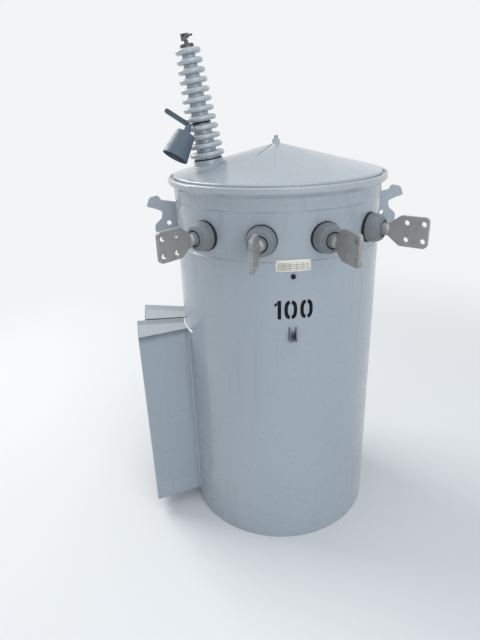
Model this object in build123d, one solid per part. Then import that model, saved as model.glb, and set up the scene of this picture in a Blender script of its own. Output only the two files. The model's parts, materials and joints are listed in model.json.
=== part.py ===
from build123d import *
import math
import os

# Pole mounted distribution transformer, single phase, 610 mm tank.
# Millimetres. +Z is up, the front with the four low-voltage terminals faces -Y,
# and the origin is the centre of the tank's base. Angles are measured round the
# tank from the front, positive towards +X.

# Tank
TANK_RADIUS = 305.0
TANK_WALL = 3.5
BOTTOM_THICKNESS = 6.0
TANK_HEIGHT = 1112.0
LIP_WIDTH = 9.0
FLARE_HEIGHT = 12.0
TERMINALS_BELOW_LIP = 119.0
BAND_ABOVE = 69.0
BAND_BELOW = 56.0
BAND_DEPTH = 2.0
BAND_EDGE = 3.0

# Cover, its gasket and the clamp band round its edge
GASKET_THICKNESS = 4.0
GASKET_INSET = 2.0
COVER_SHEET = 3.0
COVER_RISE = 92.0
SHOULDER_HEIGHT = 14.0
SHOULDER_ROUND = 6.0
GROOVE_ANGLE = -35.0
GROOVE_START = 20.0
GROOVE_END = 112.0
GROOVE_RADIUS = 4.0
GROOVE_DEPTH = 1.6
CLAMP_WIDTH = 15.3
CLAMP_SHEET = 2.5
CLAMP_ABOVE_RIM = 6.0
CLAMP_BELOW_LIP = 3.0
CLAMP_LEG_HEIGHT = 13.0
CLAMP_CURL = 8.8
CLAMP_GAP = 24.0
CLAMP_LUG_LENGTH = 26.0
CLAMP_LUG_HEIGHT = 20.0
CLAMP_LUG_THICKNESS = 5.0
CLAMP_BOLT_RADIUS = 5.0
STUD_RADIUS = 6.0
STUD_HEIGHT = 19.0
STUD_NUT_RADIUS = 11.0
STUD_NUT_HEIGHT = 8.0

# High-voltage bushing on the cover, left of the apex, set in from the tank's wall.
# SHED_LAST is how far the top shed's tip lies below the porcelain's top.
HV_INSET = 105.3
HV_TILT = 7.7
BOSS_RADIUS = 43.0
BOSS_HEIGHT = 11.7
HV_GASKET_RADIUS = 39.5
HV_GASKET_THICKNESS = 3.0
HV_LENGTH = 287.0
HV_FOOT_RADIUS = 38.5
HV_FOOT_ROUND = 2.0
HV_CORE_BASE = 29.0
HV_CORE_TOP = 18.0
SHED_COUNT = 12
SHED_FIRST = 12.3
SHED_LAST = 8.83
SHED_BASE_RADIUS = 50.6
SHED_TOP_RADIUS = 34.6
SHED_BELOW = 7.5
SHED_ABOVE = 6.5
SHED_CROWN = 8.0
SHED_ROUND = 6.4
CAP_RADIUS = 18.4
CAP_HEIGHT = 9.0
NECK_RADIUS = 5.7
NECK_HEIGHT = 8.5
EYE_WIDTH = 16.5
EYE_DEPTH = 16.0
EYE_HEIGHT = 16.5
EYE_ASIDE = 4.0
WIRE_HOLE_RADIUS = 3.8
WIRE_HOLE_HEIGHT = 11.2
SCREW_RADIUS = 2.8
SCREW_LENGTH = 15.0
SCREW_NUT_RADIUS = 6.0
SCREW_NUT_HEIGHT = 5.5

# Wildlife guard hung from a tie round the high-voltage bushing
GUARD_SHED = 3
GUARD_TIE_HEIGHT = 4.0
GUARD_TIE_WIDTH = 6.0
GUARD_TIE_THICKNESS = 1.5
GUARD_REACH = 59.0
GUARD_SIDE = 54.7
GUARD_SNOUT = (10.0, 9.4, 20.7)
SNOUT_RADIUS = 11.0
SNOUT_TIP_RADIUS = 7.5
GUARD_AXIS = (0.48, 0.30, 0.825)
GUARD_WALL = 2.5
GUARD_TOP_RADIUS = 26.5
GUARD_MOUTH_RADIUS = 36.5
GUARD_LENGTH = 71.0
GUARD_ARM_WIDTH = 13.5
GUARD_ARM_DEPTH = 6.0
GUARD_ARM_GROOVE = 3.5
GUARD_ARM_RIM = 2.8
GUARD_ARM_LENGTH = 75.0
GUARD_ARM_RISE = 33.9

# Low-voltage terminals. The bell's profile lists radius, height above its seat
# and the corner's rounding.
LV_COUNT = 4
LV_PITCH = 31.4
LV_CENTRE = 0.5
LV_GASKET_RADIUS = 41.0
LV_GASKET_THICKNESS = 5.0
LV_BELL_DEPTH = 37.5
LV_BELL_PROFILE = (
    (39.5, 0, 1.5),
    (38.2, 16, 40),
    (34.5, 30, 3),
    (31.5, 31.5),
    (31.0, 34.5, 1),
    (27.5, 34.5),
    (26.5, LV_BELL_DEPTH, 1.2),
)
LV_GROOVE_RADIUS = 18.5
LV_GROOVE_WIDTH = 4.0
LV_GROOVE_DEPTH = 4.0
LV_NOTCH_WIDTH = 5.0
HUB_RADIUS = 16.5
HUB_LENGTH = 21.5
SPADE_THICKNESS = 9.5
SPADE_FAN = 25.0
SPADE_PAD_LENGTH = 74.0
SPADE_PAD_HEIGHT = 80.0
SPADE_ROUND = 12.0
SPADE_HOLE_RADIUS = 7.15
SPADE_HOLE_PITCH = 44.45
SPADE_HOLE_MARGIN = 13.0

# Lifting lugs, one on each side. The profile lists distance out from the wall,
# height above the hole and the corner's rounding.
LUG_THICKNESS = 8.0
LUG_HOLE_RADIUS = 7.0
LUG_HOLE_STANDOFF = 23.0
LUG_HOLE_BELOW_LIP = 123.0
LUG_PROFILE = (
    (-12, -81),
    (34, -59, 20),
    (66, -27, 16),
    (66, -5, 12),
    (44, 15, 6),
    (40, 35, 8),
    (64, 45, 6),
    (86, 51, 5),
    (76, 77, 12),
    (50, 83, 8),
    (42, 69, 5),
    (-12, 60),
)

# Cooling boxes, a pair on the left side. Each plan lists the angle and the
# distance out from the wall of its corners, from its front root to its rear root.
COOLER_BOTTOM = 51.0
COOLER_HEIGHT = 624.0
COOLER_SHEET = 2.5
COOLER_BEND = 5.0
COOLER_ROOT = -3.5
FRONT_BOX = ((-73.0, COOLER_ROOT), (-72.2, 159.0), (-89.2, 155.0), (-89.3, COOLER_ROOT))
REAR_BOX = ((-90.6, COOLER_ROOT), (-90.4, 131.0), (-107.0, 164.0), (-108.0, COOLER_ROOT))

# Support lugs at the back, which hang the tank on a pole
POLE_LUG_PITCH = 590.55
POLE_LUG_BELOW_LIP = 127.0
POLE_LUG_STANDOFF = 58.0
POLE_LUG_WIDTH = 120.0
POLE_LUG_HEIGHT = 110.0
POLE_LUG_PLATE = 9.5
POLE_BOLT_RADIUS = 10.3

# Small fittings on the front
PLATE_WIDTH = 91.0
PLATE_HEIGHT = 31.0
PLATE_THICKNESS = 1.2
PLATE_BELOW_LIP = 185.5
PLUG_RADIUS = 6.5
PLUG_LENGTH = 4.0
PLUG_BELOW_LIP = 215.0
HOOK_BELOW_LIP = 358.0
HOOK_DROP = 40.0
HOOK_WIDTH = 20.0
HOOK_THICKNESS = 4.0
HOOK_REACH = 14.0

RIGHT = Vector(1, 0, 0)
FRONT = Vector(0, -1, 0)


def outline(*corners):
    """Closed outline through (x, y) corners; a third number rounds that corner."""
    points = [(corner[0], corner[1]) for corner in corners]
    radii = [corner[2] if len(corner) > 2 else 0 for corner in corners]
    return make_face(FilletPolyline(*points, radius=radii, close=True))


def turned(profile):
    """Solid of revolution about the tank's axis from a (radius, height) profile."""
    return revolve(Plane.XZ * profile, Axis.Z, 360)


def front_plane(height):
    """Workplane on the tank's axis that looks out of the front: x right, y up, z out."""
    return Plane(origin=(0, 0, height), x_dir=RIGHT, z_dir=FRONT)


def side_plate(profile, thickness):
    """Plate in the vertical front-back plane, its profile in (distance out, height)."""
    plane = Plane(origin=(0, 0, 0), x_dir=FRONT, z_dir=-RIGHT)
    return extrude(plane * profile, thickness / 2, both=True)


UPWARDS = (Align.CENTER, Align.CENTER, Align.MIN)
DOWNWARDS = (Align.CENTER, Align.CENTER, Align.MAX)

cover_seat = TANK_HEIGHT + GASKET_THICKNESS
apex_height = cover_seat + COVER_RISE
lip_radius = TANK_RADIUS + LIP_WIDTH
clamp_radius = TANK_RADIUS + CLAMP_WIDTH
clamp_top = cover_seat + COVER_SHEET + CLAMP_ABOVE_RIM
clamp_edge = TANK_HEIGHT - CLAMP_BELOW_LIP
clamp_middle = (clamp_top + clamp_edge) / 2
band_radius = TANK_RADIUS - BAND_DEPTH
lv_height = TANK_HEIGHT - TERMINALS_BELOW_LIP


def cover_height(radius):
    """Height of the cover's outer face at a distance from the axis."""
    return apex_height - radius * (COVER_RISE - SHOULDER_HEIGHT) / TANK_RADIUS


def under_cover():
    """Solid that fills everything below the cover's outer face."""
    rim = cover_height(TANK_RADIUS)
    return turned(outline((0, 0), (TANK_RADIUS, 0), (TANK_RADIUS, rim), (0, apex_height)))


def tank_profile(offset):
    """The tank's outer face, moved inwards by an offset, as (radius, height) corners."""
    return [
        (TANK_RADIUS - offset, 0),
        (TANK_RADIUS - offset, lv_height - BAND_BELOW - BAND_EDGE),
        (band_radius - offset, lv_height - BAND_BELOW),
        (band_radius - offset, lv_height + BAND_ABOVE),
        (TANK_RADIUS - offset, lv_height + BAND_ABOVE + BAND_EDGE),
        (TANK_RADIUS - offset, TANK_HEIGHT - FLARE_HEIGHT),
    ]


def tank_envelope():
    """Solid inside the tank's outer face, which cuts what is welded on to fit."""
    return turned(outline((0, 0), *tank_profile(0), (lip_radius, TANK_HEIGHT), (0, TANK_HEIGHT)))


envelope = tank_envelope()


def seated(piece):
    """A piece with the tank's outer face cut out of it, so that it lies on the wall."""
    return piece - envelope


def tank_shell():
    """Rolled wall with the shallow terminal band and the flared lip for the cover."""
    inner = list(reversed(tank_profile(TANK_WALL)))
    lip = [
        (lip_radius, TANK_HEIGHT - TANK_WALL),
        (lip_radius, TANK_HEIGHT),
        (TANK_RADIUS - TANK_WALL, TANK_HEIGHT),
    ]
    return turned(outline(*tank_profile(0), *lip, *inner[1:]))


def tank_bottom():
    """Flat disc welded inside the foot of the wall."""
    return turned(outline(
        (0, 0),
        (TANK_RADIUS - TANK_WALL, 0),
        (TANK_RADIUS - TANK_WALL, BOTTOM_THICKNESS),
        (0, BOTTOM_THICKNESS),
    ))


def cover_gasket():
    """Flat ring between the tank's lip and the cover."""
    inside = TANK_RADIUS - GASKET_INSET
    return turned(outline(
        (inside, TANK_HEIGHT),
        (lip_radius, TANK_HEIGHT),
        (lip_radius, cover_seat),
        (inside, cover_seat),
    ))


def cover_groove():
    """Rod along the cone that presses the short groove beside the apex."""
    slope = math.atan2(COVER_RISE - SHOULDER_HEIGHT, TANK_RADIUS)
    above = (GROOVE_RADIUS - GROOVE_DEPTH) / math.cos(slope)
    start = Vector(0, -GROOVE_START, cover_height(GROOVE_START) + above)
    end = Vector(0, -GROOVE_END, cover_height(GROOVE_END) + above)
    rod = Cylinder(GROOVE_RADIUS, (end - start).length, align=UPWARDS)
    rod = Plane(origin=start, z_dir=end - start) * rod + Pos(*start) * Sphere(GROOVE_RADIUS)
    return Rot(0, 0, GROOVE_ANGLE) * (rod + Pos(*end) * Sphere(GROOVE_RADIUS))


def cover():
    """Pressed cone with a rounded shoulder, a flat rim and a short groove."""
    shoulder = cover_seat + SHOULDER_HEIGHT
    inside = TANK_RADIUS - COVER_SHEET
    sheet = turned(outline(
        (0, apex_height),
        (TANK_RADIUS, shoulder, SHOULDER_ROUND),
        (TANK_RADIUS, cover_seat + COVER_SHEET),
        (lip_radius, cover_seat + COVER_SHEET),
        (lip_radius, cover_seat),
        (inside, cover_seat),
        (inside, shoulder - COVER_SHEET, SHOULDER_ROUND - COVER_SHEET),
        (0, apex_height - COVER_SHEET),
    ))
    return sheet - cover_groove()


def cover_band():
    """Split clamp band round the cover's edge, with two lugs for its bolt at the back."""
    inside = clamp_radius - CLAMP_SHEET
    curl_radius = clamp_radius - CLAMP_CURL
    rim = cover_seat + COVER_SHEET
    leg_foot = clamp_edge - CLAMP_LEG_HEIGHT
    band = turned(outline(
        (TANK_RADIUS, leg_foot),
        (clamp_radius, clamp_edge, CLAMP_SHEET * 2),
        (clamp_radius, clamp_top, CLAMP_SHEET * 2),
        (curl_radius, clamp_top, CLAMP_SHEET),
        (curl_radius, rim),
        (curl_radius + CLAMP_SHEET, rim),
        (curl_radius + CLAMP_SHEET, clamp_top - CLAMP_SHEET),
        (inside, clamp_top - CLAMP_SHEET, CLAMP_SHEET),
        (inside, clamp_edge + CLAMP_SHEET / 2, CLAMP_SHEET),
        (TANK_RADIUS, leg_foot + CLAMP_SHEET * 1.5),
    ))
    band -= Pos(0, clamp_radius, clamp_middle) * Box(CLAMP_GAP, CLAMP_CURL * 4, CLAMP_LEG_HEIGHT * 4)
    for side in (-1, 1):
        lug = Box(CLAMP_LUG_THICKNESS, CLAMP_LUG_LENGTH, CLAMP_LUG_HEIGHT)
        across = side * (CLAMP_GAP + CLAMP_LUG_THICKNESS) / 2
        band += Pos(across, inside + CLAMP_LUG_LENGTH / 2, clamp_middle) * lug
    hole = Rot(0, 90, 0) * Cylinder(CLAMP_BOLT_RADIUS, CLAMP_GAP * 3)
    return band - Pos(0, bolt_distance(), clamp_middle) * hole


def bolt_distance():
    """How far from the axis the clamp band's bolt lies."""
    return clamp_radius - CLAMP_SHEET + CLAMP_LUG_LENGTH * 0.6


def cover_band_bolt():
    """Bolt through the clamp band's lugs, with its head and nut."""
    grip = CLAMP_GAP + 2 * CLAMP_LUG_THICKNESS
    head = CLAMP_BOLT_RADIUS * 1.4
    bolt = Cylinder(CLAMP_BOLT_RADIUS, grip + 4 * head)
    for side in (-1, 1):
        hexagon = extrude(RegularPolygon(CLAMP_BOLT_RADIUS * 1.8, 6), head / 2, both=True)
        bolt += Pos(0, 0, side * (grip + head) / 2) * hexagon
    return Pos(0, bolt_distance(), clamp_middle) * Rot(0, 90, 0) * bolt


def cover_stud():
    """Stud with its nut at the cover's apex."""
    base = cover_height(STUD_NUT_RADIUS)
    nut = extrude(RegularPolygon(STUD_NUT_RADIUS, 6), apex_height + STUD_NUT_HEIGHT - base)
    stud = Cylinder(STUD_RADIUS, apex_height + STUD_HEIGHT - base, align=UPWARDS)
    stud = fillet(stud.edges().group_by(Axis.Z)[-1], STUD_RADIUS / 3)
    return Pos(0, 0, base) * (nut + stud) - under_cover()


tilt = math.radians(HV_TILT)
hv_axis = Vector(-math.sin(tilt), 0, math.cos(tilt))
hv_offset = TANK_RADIUS - HV_INSET
boss_top = Vector(-hv_offset, 0, cover_height(hv_offset) + BOSS_HEIGHT)
shed_pitch = (HV_LENGTH - SHED_FIRST - SHED_LAST) / (SHED_COUNT - 1)


def hv_plane(station):
    """Workplane across the high-voltage bushing's axis, a distance above its boss."""
    origin = boss_top + hv_axis * station
    return Plane(origin=origin, x_dir=(math.cos(tilt), 0, math.sin(tilt)), z_dir=hv_axis)


def on_hv_axis(station, radius, height):
    """Disc or rod on the bushing's axis, from a station upwards."""
    return hv_plane(station) * Cylinder(radius, height, align=UPWARDS)


def hv_boss():
    """Seat welded on the cone, its top square to the bushing."""
    return on_hv_axis(-BOSS_RADIUS, BOSS_RADIUS, BOSS_RADIUS) - under_cover()


def hv_gasket():
    """Flat gasket under the high-voltage bushing."""
    return on_hv_axis(0, HV_GASKET_RADIUS, HV_GASKET_THICKNESS)


def shed_height(shed):
    """Height of a shed's tip above the porcelain's foot, sheds counted from the lowest."""
    return SHED_FIRST + shed * shed_pitch


def shed_core(shed):
    """Radius of the porcelain's core at a shed."""
    return HV_CORE_BASE + (HV_CORE_TOP - HV_CORE_BASE) * shed / (SHED_COUNT - 1)


def shed_radius(shed):
    """Radius of a shed's tip."""
    return SHED_BASE_RADIUS + (SHED_TOP_RADIUS - SHED_BASE_RADIUS) * shed / (SHED_COUNT - 1)


def hv_bushing():
    """Glazed porcelain with a foot, a tapered core and thick sheds with round tips."""
    corners = [(0, 0), (HV_FOOT_RADIUS, 0, HV_FOOT_ROUND)]
    for shed in range(SHED_COUNT):
        height, tip = shed_height(shed), shed_radius(shed)
        below = HV_FOOT_RADIUS if shed == 0 else shed_core(shed)
        corners += [
            (below, height - SHED_BELOW),
            (tip, height - SHED_BELOW, SHED_ROUND),
            (tip, height + SHED_ABOVE, SHED_ROUND),
            (shed_core(shed), height + SHED_CROWN),
        ]
    corners += [(HV_CORE_TOP, HV_LENGTH), (0, HV_LENGTH)]
    return hv_plane(HV_GASKET_THICKNESS) * turned(outline(*corners))


hv_top = HV_GASKET_THICKNESS + HV_LENGTH
eye_plane = hv_plane(hv_top + CAP_HEIGHT + NECK_HEIGHT)


def hv_cap():
    """Metal cap with the threaded neck that carries the eyebolt clamp."""
    cap = Cylinder(CAP_RADIUS, CAP_HEIGHT, align=UPWARDS)
    cap = fillet(cap.edges().group_by(Axis.Z)[-1], CAP_HEIGHT / 4)
    neck = Pos(0, 0, CAP_HEIGHT) * Cylinder(NECK_RADIUS, NECK_HEIGHT, align=UPWARDS)
    return hv_plane(hv_top) * (cap + neck)


def hv_eyebolt():
    """Clamp block, set a little aside, with a cross hole for the line wire."""
    block = Box(EYE_WIDTH, EYE_DEPTH, EYE_HEIGHT, align=UPWARDS)
    block = fillet(block.edges().filter_by(Axis.Z), EYE_DEPTH / 5)
    hole = Pos(0, 0, WIRE_HOLE_HEIGHT) * Rot(90, 0, 0) * Cylinder(WIRE_HOLE_RADIUS, EYE_DEPTH * 2)
    return eye_plane * Pos(-EYE_ASIDE, 0, 0) * (block - hole)


def hv_clamp_bolt():
    """Screw and nut that close the clamp block on the wire, from the side."""
    screw = Cylinder(SCREW_RADIUS, SCREW_LENGTH, align=UPWARDS)
    screw += extrude(RegularPolygon(SCREW_NUT_RADIUS, 6), SCREW_NUT_HEIGHT)
    return eye_plane * Pos(EYE_WIDTH / 2 - EYE_ASIDE, 0, WIRE_HOLE_HEIGHT) * Rot(0, 90, 0) * screw


def tie_station():
    """Height of the guard's tie above the boss, in the middle of the gap between two sheds."""
    below = shed_height(GUARD_SHED) + SHED_CROWN
    above = shed_height(GUARD_SHED + 1) - SHED_BELOW
    return HV_GASKET_THICKNESS + (below + above - GUARD_TIE_HEIGHT) / 2


def tie_plane():
    """Workplane on the bushing's axis under the tie, its x pointing at the guard."""
    return Plane(hv_plane(tie_station()).location * Rot(0, 0, 180 + GUARD_SIDE))


guard_axis = Vector(*GUARD_AXIS).normalized()
guard_hanger = tie_plane().from_local_coords(Vector(GUARD_REACH, 0, GUARD_TIE_HEIGHT / 2))
guard_top = guard_hanger - Vector(*GUARD_SNOUT)


def guard_cone(wall):
    """The hood's outer form, moved inwards by a wall thickness."""
    cone = Cone(GUARD_MOUTH_RADIUS - wall, GUARD_TOP_RADIUS - wall, GUARD_LENGTH - wall, align=UPWARDS)
    return Plane(origin=guard_top - guard_axis * GUARD_LENGTH, z_dir=guard_axis) * cone


def guard_hood():
    """Moulded hood with an open mouth and a snout on its closed top."""
    snout = Vector(*GUARD_SNOUT)
    root = guard_top - guard_axis * GUARD_WALL
    neck = Cone(SNOUT_RADIUS, SNOUT_TIP_RADIUS, (guard_hanger - root).length, align=UPWARDS)
    neck = Plane(origin=root, z_dir=snout) * neck
    return guard_cone(0) + neck - guard_cone(GUARD_WALL)


def guard_tie():
    """Strap round the porcelain's core between two sheds, its tail reaching to the snout."""
    core = shed_core(GUARD_SHED)
    ring = Cylinder(core + GUARD_TIE_THICKNESS, GUARD_TIE_HEIGHT, align=UPWARDS)
    tail = Box(GUARD_REACH, GUARD_TIE_WIDTH, GUARD_TIE_HEIGHT, align=(Align.MIN, Align.CENTER, Align.MIN))
    inside = Cylinder(core, GUARD_TIE_HEIGHT, align=UPWARDS)
    return tie_plane() * (ring + tail - inside) - guard_hood() - guard_arm()


def guard_arm():
    """Grooved arm with a rounded end that stands out from the snout."""
    rise = math.radians(GUARD_ARM_RISE)
    plane = Plane(origin=guard_hanger, x_dir=(-math.cos(rise), 0, math.sin(rise)), z_dir=FRONT)

    def strip(rim):
        half = GUARD_ARM_WIDTH / 2 - rim
        end = GUARD_ARM_LENGTH - rim
        return outline((0, -half), (end, -half, half * 0.96), (end, half, half * 0.96), (0, half))

    arm = extrude(strip(0), GUARD_ARM_DEPTH / 2, both=True)
    floor = GUARD_ARM_DEPTH / 2 - GUARD_ARM_GROOVE
    arm -= Pos(0, 0, floor) * extrude(strip(GUARD_ARM_RIM), GUARD_ARM_DEPTH)
    return plane * arm - guard_hood()


def lv_plane(angle, distance):
    """Workplane across a low-voltage terminal's axis: x sideways, y up, z outwards."""
    plane = front_plane(lv_height)
    return Rot(0, 0, angle) * Plane(origin=plane.origin + FRONT * distance, x_dir=RIGHT, z_dir=FRONT).location


def lv_gasket(angle):
    """Moulded gasket, flat outside and curved to the tank inside."""
    seat = band_radius + LV_GASKET_THICKNESS
    disc = Cylinder(LV_GASKET_RADIUS, LV_GASKET_THICKNESS * 4, align=DOWNWARDS)
    return seated(lv_plane(angle, seat) * disc)


def lv_bushing(angle):
    """Bell with two fine steps at its face, and a ring groove with a notch at the bottom."""
    outer_wall = LV_GROOVE_RADIUS + LV_GROOVE_WIDTH
    groove_floor = LV_BELL_DEPTH - LV_GROOVE_DEPTH
    bell = revolve(Plane.XZ * outline(
        (0, 0),
        *LV_BELL_PROFILE,
        (outer_wall, LV_BELL_DEPTH),
        (outer_wall, groove_floor),
        (LV_GROOVE_RADIUS, groove_floor),
        (LV_GROOVE_RADIUS, LV_BELL_DEPTH),
        (0, LV_BELL_DEPTH),
    ), Axis.Z, 360)
    notch = Box(LV_NOTCH_WIDTH, outer_wall, LV_GROOVE_DEPTH * 2)
    bell -= Pos(0, -outer_wall, LV_BELL_DEPTH) * notch
    return lv_plane(angle, band_radius + LV_GASKET_THICKNESS) * bell


def lv_spade(angle):
    """Cast spade terminal: a round hub, a fan and a pad with four bolt holes."""
    face = band_radius + LV_GASKET_THICKNESS + LV_BELL_DEPTH
    pad_start = face + HUB_LENGTH + SPADE_FAN
    end = pad_start + SPADE_PAD_LENGTH
    half = SPADE_PAD_HEIGHT / 2
    plate = side_plate(outline(
        (face + HUB_LENGTH / 2, lv_height - HUB_RADIUS * 0.8),
        (pad_start, lv_height - half, SPADE_ROUND),
        (end, lv_height - half, SPADE_ROUND),
        (end, lv_height + half, SPADE_ROUND),
        (pad_start, lv_height + half, SPADE_ROUND),
        (face + HUB_LENGTH / 2, lv_height + HUB_RADIUS * 0.8),
    ), SPADE_THICKNESS)
    hub = Cylinder(HUB_RADIUS, HUB_LENGTH, align=UPWARDS)
    hub = fillet(hub.edges().group_by(Axis.Z)[-1], HUB_RADIUS * 0.6)
    hub = lv_plane(0, face) * hub
    for row in (-1, 1):
        for column in (0, 1):
            out = end - SPADE_HOLE_MARGIN - column * SPADE_HOLE_PITCH
            centre = Pos(out, lv_height + row * SPADE_HOLE_PITCH / 2)
            plate -= side_plate(centre * Circle(SPADE_HOLE_RADIUS), SPADE_THICKNESS * 2)
    return Rot(0, 0, angle) * (hub + plate)


def lifting_lug(angle):
    """Plate with a horn above an open sling slot, welded on edge to the tank."""
    datum = TANK_HEIGHT - LUG_HOLE_BELOW_LIP
    corners = [(TANK_RADIUS + out, datum + up, *rounding) for out, up, *rounding in LUG_PROFILE]
    plate = side_plate(outline(*corners), LUG_THICKNESS)
    centre = Pos(TANK_RADIUS + LUG_HOLE_STANDOFF, datum)
    plate -= side_plate(centre * Circle(LUG_HOLE_RADIUS), LUG_THICKNESS * 2)
    return Rot(0, 0, angle) * seated(plate)


def cooler_plan(box, sheet):
    """Plan of a cooling box with bent outer corners, moved inwards by a sheet thickness."""
    corners = []
    for angle, out in box:
        turn, radius = math.radians(angle), TANK_RADIUS + out
        bend = COOLER_BEND if out > 0 else 0
        corners.append((radius * math.sin(turn), -radius * math.cos(turn), bend))
    plan = outline(*corners)
    return offset(plan, -sheet, kind=Kind.INTERSECTION) if sheet else plan


def cooler_prism(box, sheet, bottom, height):
    """Prism on a cooling box's plan, cut to the tank."""
    return seated(extrude(Pos(0, 0, bottom) * cooler_plan(box, sheet), height))


def cooler_jacket(box):
    """Sheet folded round three sides of a cooling box, open to the tank."""
    solid = cooler_prism(box, 0, COOLER_BOTTOM, COOLER_HEIGHT)
    return solid - cooler_prism(box, COOLER_SHEET, COOLER_BOTTOM, COOLER_HEIGHT)


def cooler_lid(box, bottom):
    """Flat plate that closes an end of a cooling box, inside its jacket."""
    return cooler_prism(box, COOLER_SHEET, bottom, COOLER_SHEET)


def pole_lug(height):
    """Channel welded to the back of the tank, with a bolt hole in its flat web."""
    outer = TANK_RADIUS + POLE_LUG_STANDOFF
    solid = Box(POLE_LUG_WIDTH, POLE_LUG_STANDOFF * 2, POLE_LUG_HEIGHT,
                align=(Align.CENTER, Align.MAX, Align.CENTER))
    room = Box(POLE_LUG_WIDTH - 2 * POLE_LUG_PLATE, POLE_LUG_STANDOFF * 2, POLE_LUG_HEIGHT * 2,
               align=(Align.CENTER, Align.MAX, Align.CENTER))
    channel = Pos(0, outer, height) * (solid - Pos(0, -POLE_LUG_PLATE, 0) * room)
    hole = Pos(0, outer, height) * Rot(90, 0, 0) * Cylinder(POLE_BOLT_RADIUS, POLE_LUG_PLATE * 4)
    return seated(channel - hole)


def nameplate():
    """Thin plate curved to the tank below the terminals."""
    middle = TANK_HEIGHT - PLATE_BELOW_LIP
    disc = Pos(0, 0, middle) * Cylinder(TANK_RADIUS + PLATE_THICKNESS, PLATE_HEIGHT)
    window = Pos(0, -TANK_RADIUS, middle) * Box(PLATE_WIDTH, TANK_RADIUS, PLATE_HEIGHT * 2)
    return seated(disc & window)


def level_plug():
    """Plug that marks the oil level."""
    plug = Cylinder(PLUG_RADIUS, PLUG_LENGTH * 2, align=DOWNWARDS)
    return seated(front_plane(TANK_HEIGHT - PLUG_BELOW_LIP) * Pos(0, 0, TANK_RADIUS + PLUG_LENGTH) * plug)


def strap_hook():
    """Bent strip welded at its top, standing off the wall at its foot."""
    wall, top = TANK_RADIUS, TANK_HEIGHT - HOOK_BELOW_LIP
    return seated(side_plate(outline(
        (wall - HOOK_THICKNESS, top),
        (wall + HOOK_THICKNESS, top, HOOK_THICKNESS / 2),
        (wall + HOOK_REACH + HOOK_THICKNESS, top - HOOK_DROP),
        (wall + HOOK_REACH, top - HOOK_DROP),
        (wall, top - HOOK_DROP / 2),
        (wall - HOOK_THICKNESS, top - HOOK_DROP / 2),
    ), HOOK_WIDTH))


def parts():
    """Every node's name and solid."""
    upper = TANK_HEIGHT - POLE_LUG_BELOW_LIP
    made = {
        "tank_shell": tank_shell(),
        "tank_bottom": tank_bottom(),
        "cover_gasket": cover_gasket(),
        "cover": cover(),
        "cover_band": cover_band(),
        "cover_band_bolt": cover_band_bolt(),
        "cover_stud": cover_stud(),
        "hv_boss": hv_boss(),
        "hv_gasket": hv_gasket(),
        "hv_bushing": hv_bushing(),
        "hv_cap": hv_cap(),
        "hv_eyebolt": hv_eyebolt(),
        "hv_clamp_bolt": hv_clamp_bolt(),
        "guard_hood": guard_hood(),
        "guard_arm": guard_arm(),
        "guard_tie": guard_tie(),
        "lifting_lug_left": lifting_lug(-90),
        "lifting_lug_right": lifting_lug(90),
        "pole_lug_upper": pole_lug(upper),
        "pole_lug_lower": pole_lug(upper - POLE_LUG_PITCH),
        "nameplate": nameplate(),
        "level_plug": level_plug(),
        "strap_hook": strap_hook(),
    }
    first = LV_CENTRE - LV_PITCH * (LV_COUNT - 1) / 2
    for terminal in range(LV_COUNT):
        angle = first + terminal * LV_PITCH
        made[f"lv_gasket_{terminal + 1}"] = lv_gasket(angle)
        made[f"lv_bushing_{terminal + 1}"] = lv_bushing(angle)
        made[f"lv_spade_{terminal + 1}"] = lv_spade(angle)
    for name, box in (("front", FRONT_BOX), ("rear", REAR_BOX)):
        made[f"cooler_{name}_jacket"] = cooler_jacket(box)
        made[f"cooler_{name}_top"] = cooler_lid(box, COOLER_BOTTOM + COOLER_HEIGHT - COOLER_SHEET)
        made[f"cooler_{name}_bottom"] = cooler_lid(box, COOLER_BOTTOM)
    return made


os.makedirs("parts", exist_ok=True)
for node, solid in parts().items():
    export_step(solid, os.path.join("parts", f"{node}.step"))
    print(node, round(solid.volume))
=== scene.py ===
"""Pole mounted transformer: finishes, weld beads, rating stencil, camera and studio.

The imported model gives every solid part. This script dresses each of them, adds
the small pieces that a maker leaves on such a tank, and lights the result.
Everything is in metres, +Z up, with the four spade terminals facing -Y.
"""
from __future__ import annotations

import json
import logging
import math
from collections.abc import Callable
from dataclasses import dataclass, field
from enum import Enum

import bmesh
import bpy
import numpy as np
from mathutils import Matrix, Vector

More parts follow.
